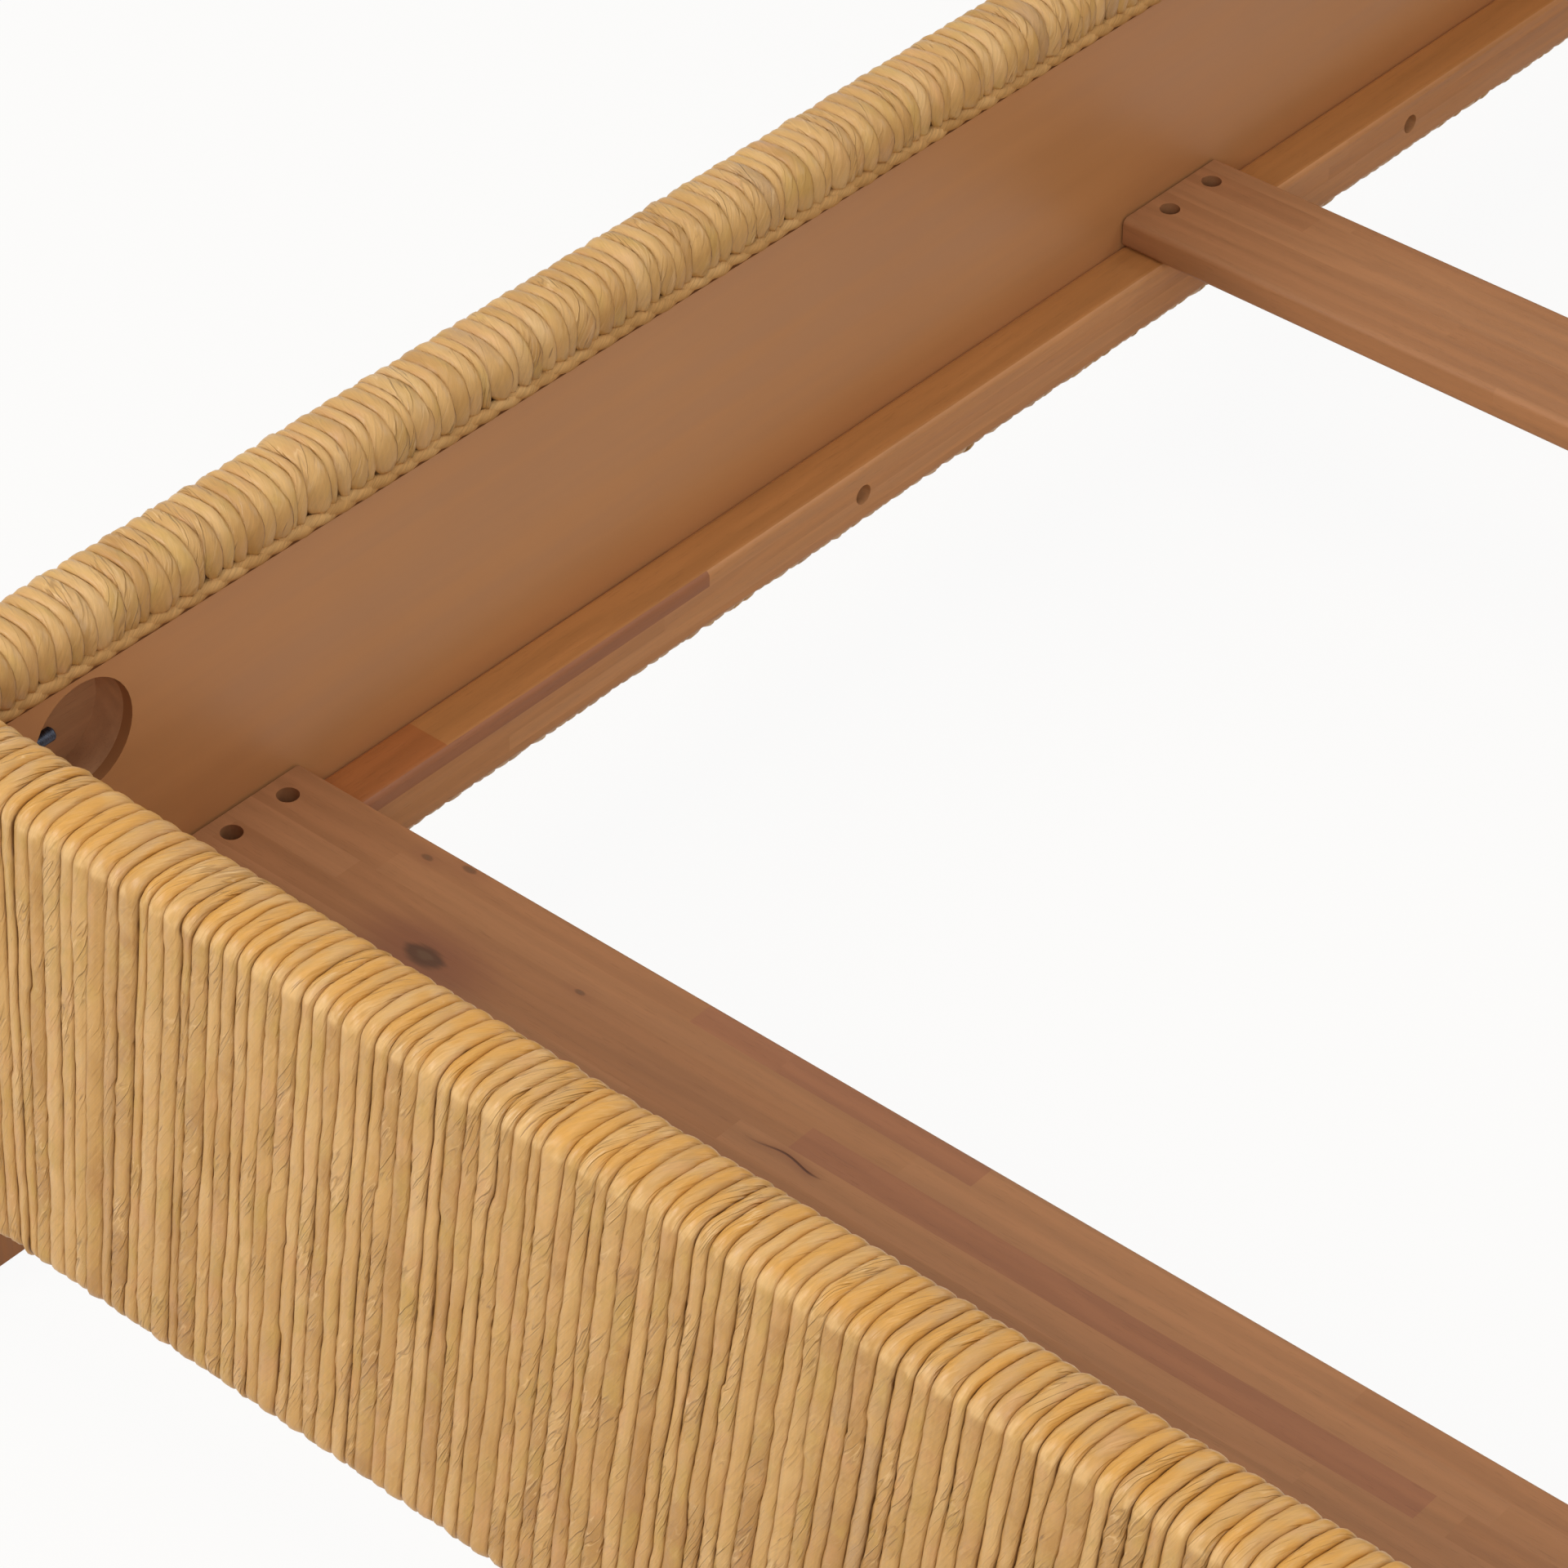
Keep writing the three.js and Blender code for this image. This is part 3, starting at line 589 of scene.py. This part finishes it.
def welt_finish():
    """Hairy twisted fibre: fine strands that run with the twist, darker than the rolled leaf."""
    f = Finish("twisted_fibre")
    run, around, turn = f.mark("run"), f.mark("around"), f.mark("turn")
    own = f.times(turn, 31.0)
    lay = f.plus(f.per(run, STRAND_LAY), around)
    fibre = f.noise(f.point(f.times(lay, 26.0), f.times(run, 60.0), own), 1.0, 3.0, 0.65)
    patch = f.noise(f.point(f.times(run, 30.0), own, around), 1.0, 2.0)
    colour = f.ramp(patch, *STRAND_TONES)
    colour = f.scale_colour(colour, f.between(fibre, 0.3, 0.7, 0.80, 1.08))
    return f.surface(colour, 0.75, f.times(fibre, STRAND_FIBRE_DEPTH), gloss=0.25)


fibre = welt_finish()
twist_welt("foot_rail", (1, 0, 0), (0, 1, 0), fibre)
twist_welt("left_rail", (0, -1, 0), (1, 0, 0), fibre)
twist_welt("right_rail", (0, 1, 0), (-1, 0, 0), fibre)
twist_welt("headboard", (1, 0, 0), (0, 1, 0), fibre)

# Panels: thin boards with a brown satin paint, let into the lips on the inner side of each rail
# and on the back of the headboard.
PANEL_TONES = ((0.3, shade(187, 133, 85)), (0.7, shade(192, 138, 89)))
CUT_EDGE = shade(158, 108, 68)
PANEL_GRAIN_DEPTH = 0.00008
PAINT_SKIN_DEPTH = 0.00001


def panel_finish(name, along, facing):
    """Brown satin paint over a sanded board, with a faint trace of the grain. The cut edges are bare."""
    f = Finish(name)
    spot = f.place()
    stretched = [f.times(spot[axis], 3.0 if axis == along else 60.0) for axis in "XYZ"]
    grain = f.noise(f.point(*stretched), 1.0, 3.0)
    cloud = f.noise(f.point(spot["X"], spot["Y"], spot["Z"]), 5.0, 2.0)
    skin = f.noise(f.point(spot["X"], spot["Y"], spot["Z"]), 900.0, 1.0)
    colour = f.ramp(cloud, *PANEL_TONES)
    colour = f.scale_colour(colour, f.between(grain, 0.3, 0.7, 0.96, 1.03))
    normal = f.node("ShaderNodeNewGeometry", "True Normal", {})
    flat = f.sum("ABSOLUTE", f.node("ShaderNodeSeparateXYZ", facing, {0: normal}))
    colour = f.blend(f.between(flat, 0.7, 0.3), colour, CUT_EDGE)
    height = f.plus(f.times(grain, PANEL_GRAIN_DEPTH), f.times(skin, PAINT_SKIN_DEPTH))
    return f.surface(colour, f.between(grain, 0.3, 0.7, 0.42, 0.50), height, gloss=0.4)


ROUND_BELOW = math.radians(35)
WELD_WITHIN = 0.00001


def round_walls():
    """Joins the facets of a piece and shades its holes and rounded edges as smooth walls."""
    tree = bpy.data.node_groups.new("round_walls", "GeometryNodeTree")
    for way in ("INPUT", "OUTPUT"):
        tree.interface.new_socket("Geometry", in_out=way, socket_type="NodeSocketGeometry")
    start, end = tree.nodes.new("NodeGroupInput"), tree.nodes.new("NodeGroupOutput")
    joined = tree.nodes.new("GeometryNodeMergeByDistance")
    joined.inputs["Distance"].default_value = WELD_WITHIN
    smoothed = tree.nodes.new("GeometryNodeSetShadeSmooth")
    creased = tree.nodes.new("GeometryNodeSetShadeSmooth")
    creased.domain = "EDGE"
    creased.inputs["Shade Smooth"].default_value = False
    angle = tree.nodes.new("GeometryNodeInputMeshEdgeAngle")
    sharp = tree.nodes.new("FunctionNodeCompare")
    sharp.inputs[1].default_value = ROUND_BELOW
    tree.links.new(angle.outputs[0], sharp.inputs[0])
    tree.links.new(sharp.outputs[0], creased.inputs["Selection"])
    path = (start.outputs[0], joined, smoothed, creased)
    for before, after in zip(path, path[1:]):
        before = before.outputs[0] if hasattr(before, "outputs") else before
        tree.links.new(before, after.inputs[0])
    tree.links.new(creased.outputs[0], end.inputs[0])
    return tree


soft_walls = round_walls()


def dress(name, finish):
    """Gives a piece of the frame its finish."""
    nodes[name].material_slots[0].material = finish
    nodes[name].modifiers.new("round_walls", "NODES").node_group = soft_walls


cross_panel = panel_finish("satin_panel_cross", "X", "Y")
long_panel = panel_finish("satin_panel_long", "Y", "X")
for name in ("foot_rail_inner_panel", "headboard_back_panel"):
    dress(name, cross_panel)
for name in ("left_rail_inner_panel", "right_rail_inner_panel"):
    dress(name, long_panel)

# Crossbars: boards glued up from hardwood lamellas with finger-jointed blocks, oiled brown.
# They lie on the ledgers and are held by two sunk screws at each end.
LAMELLA = 0.018
BLOCK = 0.340
KNOT_HALO = shade(126, 77, 58)
KNOT_RING = shade(78, 55, 40)
KNOT_HEART = shade(112, 86, 62)
DARK_KNOT = 0.0075
CRACK_HALO = shade(118, 72, 54)
CRACK_SHADE = shade(72, 42, 34)
CRACK_DEPTH = 0.0006
GRAIN_DEPTH = 0.00007
PORE_DEPTH = 0.00004


def board_finish(
    name, along, across, third, tones,
    width=LAMELLA, block=BLOCK, start=0.0, knots=(), patches=(), cracks=(),
):
    """Glued hardwood. Along, across and third are the board's axes. A knot is (along, across, radius),
    a patch is (first, last, lamella, tone) and a crack is (first, last, middle, sway, width)."""
    f = Finish(name)
    spot = f.place()
    run, side, deep = spot[along], spot[across], spot[third]
    strip = f.sum("FLOOR", f.per(f.minus(side, start), width))
    stagger = f.times(f.dots(f.point(strip, 2.0, 5.0)), block)
    row = f.sum("FLOOR", f.per(f.plus(run, stagger), block))
    own = f.dots(f.point(strip, row, 1.0))
    shift = f.times(own, 40.0)

    warp = f.noise(f.point(f.times(run, 5.0), f.times(side, 16.0), shift), 1.0, 2.0)
    rings = f.plus(f.times(side, 420.0), f.times(warp, 16.0))
    rings = f.plus(rings, f.times(deep, 260.0))
    rings = f.between(f.sum("SINE", rings), -1.0, 1.0)
    streak_place = f.point(f.times(run, 7.0), f.times(side, 150.0), f.times(deep, 150.0))
    streak = f.noise(streak_place, 1.0, 4.0, 0.6)
    pore_place = f.point(f.times(run, 90.0), f.times(side, 1500.0), f.times(deep, 1500.0))
    pore = f.between(f.noise(pore_place, 1.0, 1.0), 0.60, 0.72)

    colour = f.ramp(own, *tones)
    for first, last, number, tone in patches:
        in_run = f.times(f.sum("GREATER_THAN", run, first), f.sum("LESS_THAN", run, last))
        in_strip = f.sum("COMPARE", strip, float(number), 0.5)
        colour = f.blend(f.times(in_run, in_strip), colour, tone)
    colour = f.scale_colour(colour, f.between(rings, 0.0, 1.0, 0.955, 1.025))
    colour = f.scale_colour(colour, f.between(streak, 0.3, 0.7, 0.93, 1.05))
    colour = f.scale_colour(colour, f.between(pore, 0.0, 1.0, 1.0, 0.90))
    for knot_run, knot_side, radius in knots:
        far_run = f.per(f.minus(run, knot_run), radius * 1.9)
        far_side = f.per(f.minus(side, knot_side), radius)
        far = f.sum("SQRT", f.plus(f.sum("POWER", far_run, 2.0), f.sum("POWER", far_side, 2.0)))
        far = f.plus(far, f.times(f.minus(streak, 0.5), 0.8))
        dark = min(1.0, radius / DARK_KNOT)
        colour = f.blend(f.between(far, 4.2, 0.9, 0.0, 0.60 * dark), colour, KNOT_HALO)
        colour = f.blend(f.between(far, 1.10, 0.6, 0.0, 0.35 + 0.45 * dark), colour, KNOT_RING)
        colour = f.blend(f.between(far, 0.45, 0.2, 0.0, 0.50), colour, KNOT_HEART)
    height = f.plus(f.times(streak, GRAIN_DEPTH), f.times(pore, -PORE_DEPTH))
    for first, last, middle, sway, wide in cracks:
        share = f.per(f.minus(run, first), last - first)
        path = f.times(f.sum("SINE", f.times(share, 9.0)), -sway)
        off = f.sum("ABSOLUTE", f.minus(f.minus(side, middle), path))
        inside = f.times(f.between(share, 0.0, 0.6), f.between(share, 1.0, 0.8))
        open_crack = f.times(f.between(off, wide, wide * 0.3), inside)
        haze = f.times(f.between(off, wide * 8, 0.0), inside)
        colour = f.blend(f.times(haze, 0.40), colour, CRACK_HALO)
        colour = f.blend(f.times(open_crack, 0.80), colour, CRACK_SHADE)
        height = f.plus(height, f.times(open_crack, -CRACK_DEPTH))
    return f.surface(colour, f.between(streak, 0.3, 0.7, 0.48, 0.60), height, gloss=0.25)


CROSSBAR_KNOTS = (
    (-0.5379, -0.7928, DARK_KNOT),
    (-0.5895, -0.7376, 0.0022),
    (-0.5668, -0.7305, 0.0026),
    (-0.4619, -0.7626, 0.0018),
)
REDDISH = shade(156, 104, 72)
REDDISH_BLOCKS = (
    (-0.4075, -0.2306, 4, REDDISH),
    (-0.3126, 0.0500, 2, REDDISH),
)
CRACKS = ((-0.3400, -0.2840, -0.7852, 0.0015, 0.0008),)
hardwood_tones = (
    (0.05, shade(161, 111, 73)),
    (0.45, shade(165, 115, 76)),
    (0.95, shade(168, 118, 79)),
)
crossbar_wood = board_finish(
    "laminated_hardwood", "X", "Y", "Z", hardwood_tones,
    start=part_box("crossbar_1")[0].y, knots=CROSSBAR_KNOTS, patches=REDDISH_BLOCKS, cracks=CRACKS,
)
for number in (1, 2, 3):
    dress(f"crossbar_{number}", crossbar_wood)

# Ledgers: square bars glued up from the same wood in thinner lamellas, with the top face in a darker,
# redder tone than the sides.
# They are screwed to the side rails through sunk holes and carry the crossbars.
ledger_tones = (
    (0.05, shade(184, 130, 85)),
    (0.50, shade(189, 135, 90)),
    (0.95, shade(194, 140, 94)),
)
LEDGER_LAMELLA = 0.0095
LEDGER_BLOCK = 0.6
TOP_SKIN = 0.0005
ledger_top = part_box("left_ledger")[1].z - TOP_SKIN
LEDGER_BLOCKS = (
    (-2.0, 2.0, 4, shade(173, 117, 65)),
    (-0.9000, -0.6480, 4, shade(163, 99, 52)),
    (-0.9000, -0.4450, 3, shade(158, 105, 74)),
)
ledger_wood = board_finish(
    "ledger_hardwood", "Y", "Z", "X", ledger_tones,
    width=LEDGER_LAMELLA, block=LEDGER_BLOCK, start=ledger_top - 4 * LEDGER_LAMELLA,
    patches=LEDGER_BLOCKS,
)
for name in ("left_ledger", "right_ledger"):
    dress(name, ledger_wood)

# Cores: the softwood boards inside the winding. They show in the bolt pockets and, stained brown,
# as the end boards of the foot rail and the headboard.
core_tones = (
    (0.05, shade(195, 149, 110)),
    (0.50, shade(202, 157, 117)),
    (0.95, shade(208, 164, 124)),
)
CORE_STRIP = 0.06
CORE_BLOCK = 0.8
cross_core = board_finish("core_wood_cross", "X", "Z", "Y", core_tones, CORE_STRIP, CORE_BLOCK)
long_core = board_finish("core_wood_long", "Y", "Z", "X", core_tones, CORE_STRIP, CORE_BLOCK)
for name in ("foot_rail_core", "headboard_core"):
    dress(name, cross_core)
for name in ("left_rail_core", "right_rail_core"):
    dress(name, long_core)

# Legs: short square blocks of brown oiled hardwood under the four corners, and a square post of the
# same wood under the middle of each crossbar, cut to stand on the floor.
leg_tones = (
    (0.10, shade(150, 100, 62)),
    (0.90, shade(162, 110, 70)),
)
LEG_STRIP = 0.09
LEG_BLOCK = 0.9
leg_wood = board_finish("leg_hardwood", "Z", "X", "Y", leg_tones, LEG_STRIP, LEG_BLOCK)
for name in nodes:
    if name.endswith("_leg") or name.startswith("centre_leg"):
        dress(name, leg_wood)

# Glides: thin dark grey plastic discs under the four corner legs, moulded with a matt face and
# nailed to the wood, so that the bed slides without a scratch.
GLIDE_TONES = ((0.3, shade(52, 50, 48)), (0.7, shade(66, 64, 61)))
GLIDE_GRAIN_DEPTH = 0.00003


def glide_finish():
    """Moulded plastic with a fine matt grain."""
    f = Finish("glide_plastic")
    spot = f.place()
    grain = f.noise(f.point(spot["X"], spot["Y"], spot["Z"]), 1400.0, 2.0)
    colour = f.ramp(grain, *GLIDE_TONES)
    return f.surface(colour, 0.62, f.times(grain, GLIDE_GRAIN_DEPTH))


glide_plastic = glide_finish()
for name in nodes:
    if name.endswith("_glide"):
        dress(name, glide_plastic)

# Nuts and screws: blackened steel. The flanged nuts are turned on the studs inside the round
# pockets, and the countersunk screws sit at the bottom of the holes in crossbars and ledgers.
STEEL_TONES = ((0.3, shade(58, 61, 70)), (0.7, shade(92, 98, 112)))
STEEL_CLOUD_DEPTH = 0.00004


def steel_finish():
    """Blackened steel, a little rubbed and uneven."""
    f = Finish("dark_steel")
    spot = f.place()
    cloud = f.noise(f.point(spot["X"], spot["Y"], spot["Z"]), 260.0, 3.0)
    colour = f.ramp(cloud, *STEEL_TONES)
    f.shader.inputs["Metallic"].default_value = 0.85
    return f.surface(colour, f.between(cloud, 0.3, 0.7, 0.34, 0.50), f.times(cloud, STEEL_CLOUD_DEPTH))


steel = steel_finish()
for name in nodes:
    if name.endswith("_nut") or "_screw_" in name:
        dress(name, steel)

# Studs: M8 threaded rods of the same steel, with a rolled thread from end to end. They are fixed in
# the foot rail and the headboard and reach through the side rails' ends into the pockets.
THREAD_PITCH = 0.00125
THREAD_DEPTH = 0.0007
THREAD_STEPS = 4
THREAD_SIDES = 20
BLUNT_TIP = 0.75


def cut_thread(name, finish):
    """A threaded rod in the place of a plain stud, cut back to a blunt cone at both ends."""
    low, high = (np.array(corner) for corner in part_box(name))
    centre, length, radius = (low + high) / 2, high[1] - low[1], (high[0] - low[0]) / 2
    run = np.arange(0.0, length, THREAD_PITCH / THREAD_STEPS)[:, None]
    angle = np.arange(THREAD_SIDES) * math.tau / THREAD_SIDES
    thread = np.abs(2 * ((run / THREAD_PITCH - angle / math.tau) % 1.0) - 1)
    reach = radius - THREAD_DEPTH * thread
    reach = np.minimum(reach, radius * BLUNT_TIP + np.minimum(run, length - run))
    points = np.stack([
        centre[0] + reach * np.cos(angle),
        low[1] + run + 0 * angle,
        centre[2] + reach * np.sin(angle),
    ], axis=-1)
    rod = rope_mesh(name + "_thread", points[None, :, ::-1], {})
    rod.data.materials.append(finish)
    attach(rod, "root")
    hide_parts(name)


for name in ("foot_left_stud", "foot_right_stud", "head_left_stud", "head_right_stud"):
    cut_thread(name, steel)

# Studio: a pale floor under the legs, a strong soft lamp at the front left, weaker ones at the front
# right, above and behind, and an even white surround.
FLOOR_SIZE = 40.0
FLOOR_WHITE = 0.94
FLOOR_TINT = (0.63, 0.51, 0.31, 1.0)
WHITE = (1.0, 1.0, 1.0, 1.0)

floor_mesh = bpy.data.meshes.new("floor")
reach = FLOOR_SIZE / 2
corners = [(-reach, -reach, 0.0), (reach, -reach, 0.0), (reach, reach, 0.0), (-reach, reach, 0.0)]
floor_mesh.from_pydata(corners, [], [(0, 1, 2, 3)])
floor = bpy.data.objects.new("floor", floor_mesh)
bpy.context.scene.collection.objects.link(floor)


def seen_directly(tree):
    """1 for rays from the camera, from gloss and through glass, 0 for the light on the bed."""
    path = tree.nodes.new("ShaderNodeLightPath")
    seen = path.outputs["Is Camera Ray"]
    for label in ("Is Glossy Ray", "Is Transmission Ray"):
        either = tree.nodes.new("ShaderNodeMath")
        either.operation = "MAXIMUM"
        tree.links.new(seen, either.inputs[0])
        tree.links.new(path.outputs[label], either.inputs[1])
        seen = either.outputs[0]
    return seen


floor_finish = bpy.data.materials.new("pale_floor")
floor_finish.use_nodes = True
tree = floor_finish.node_tree
tree.nodes.remove(tree.nodes["Principled BSDF"])
paint = tree.nodes.new("ShaderNodeBsdfDiffuse")
paint.inputs["Color"].default_value = FLOOR_TINT
glow = tree.nodes.new("ShaderNodeEmission")
glow.inputs["Color"].default_value = WHITE
glow.inputs["Strength"].default_value = 1.0
share = tree.nodes.new("ShaderNodeMath")
share.operation = "MULTIPLY"
share.inputs[1].default_value = FLOOR_WHITE
tree.links.new(seen_directly(tree), share.inputs[0])
mixed = tree.nodes.new("ShaderNodeMixShader")
tree.links.new(share.outputs[0], mixed.inputs[0])
tree.links.new(paint.outputs[0], mixed.inputs[1])
tree.links.new(glow.outputs[0], mixed.inputs[2])
tree.links.new(mixed.outputs[0], tree.nodes["Material Output"].inputs["Surface"])
floor_mesh.materials.append(floor_finish)

SURROUND_LIGHT = 0.30
world = bpy.data.worlds.new("surround")
bpy.context.scene.world = world
world.use_nodes = True
tree = world.node_tree
background = tree.nodes["Background"]
background.inputs["Color"].default_value = WHITE
level = tree.nodes.new("ShaderNodeMapRange")
level.inputs["To Min"].default_value = SURROUND_LIGHT
level.inputs["To Max"].default_value = 1.0
tree.links.new(seen_directly(tree), level.inputs["Value"])
tree.links.new(level.outputs[0], background.inputs["Strength"])


def hang_lamp(name, place, aim, size, power):
    """A square soft lamp at place that shines on aim."""
    data = bpy.data.lights.new(name, "AREA")
    data.size = size
    data.energy = power
    lamp = bpy.data.objects.new(name, data)
    toward = np.array(aim) - np.array(place)
    lamp.location = place
    lamp.rotation_euler = (
        math.atan2(math.hypot(toward[0], toward[1]), -toward[2]),
        0.0,
        math.atan2(toward[1], toward[0]) - math.pi / 2,
    )
    bpy.context.scene.collection.objects.link(lamp)


BED_MIDDLE = (-0.2, -0.4, 0.2)
CORNER = (-0.4, -0.5, 0.2)
hang_lamp("front_left_lamp", (-2.2, -3.9, 2.8), BED_MIDDLE, size=1.6, power=98.0)
hang_lamp("front_right_lamp", (2.5, -3.5, 2.7), BED_MIDDLE, size=2.0, power=66.0)
hang_lamp("back_lamp", (1.4, 3.0, 2.8), BED_MIDDLE, size=2.0, power=46.0)
hang_lamp("top_lamp", (-0.5, -0.6, 4.5), CORNER, size=2.4, power=50.0)

bpy.context.scene.view_settings.view_transform = "Standard"
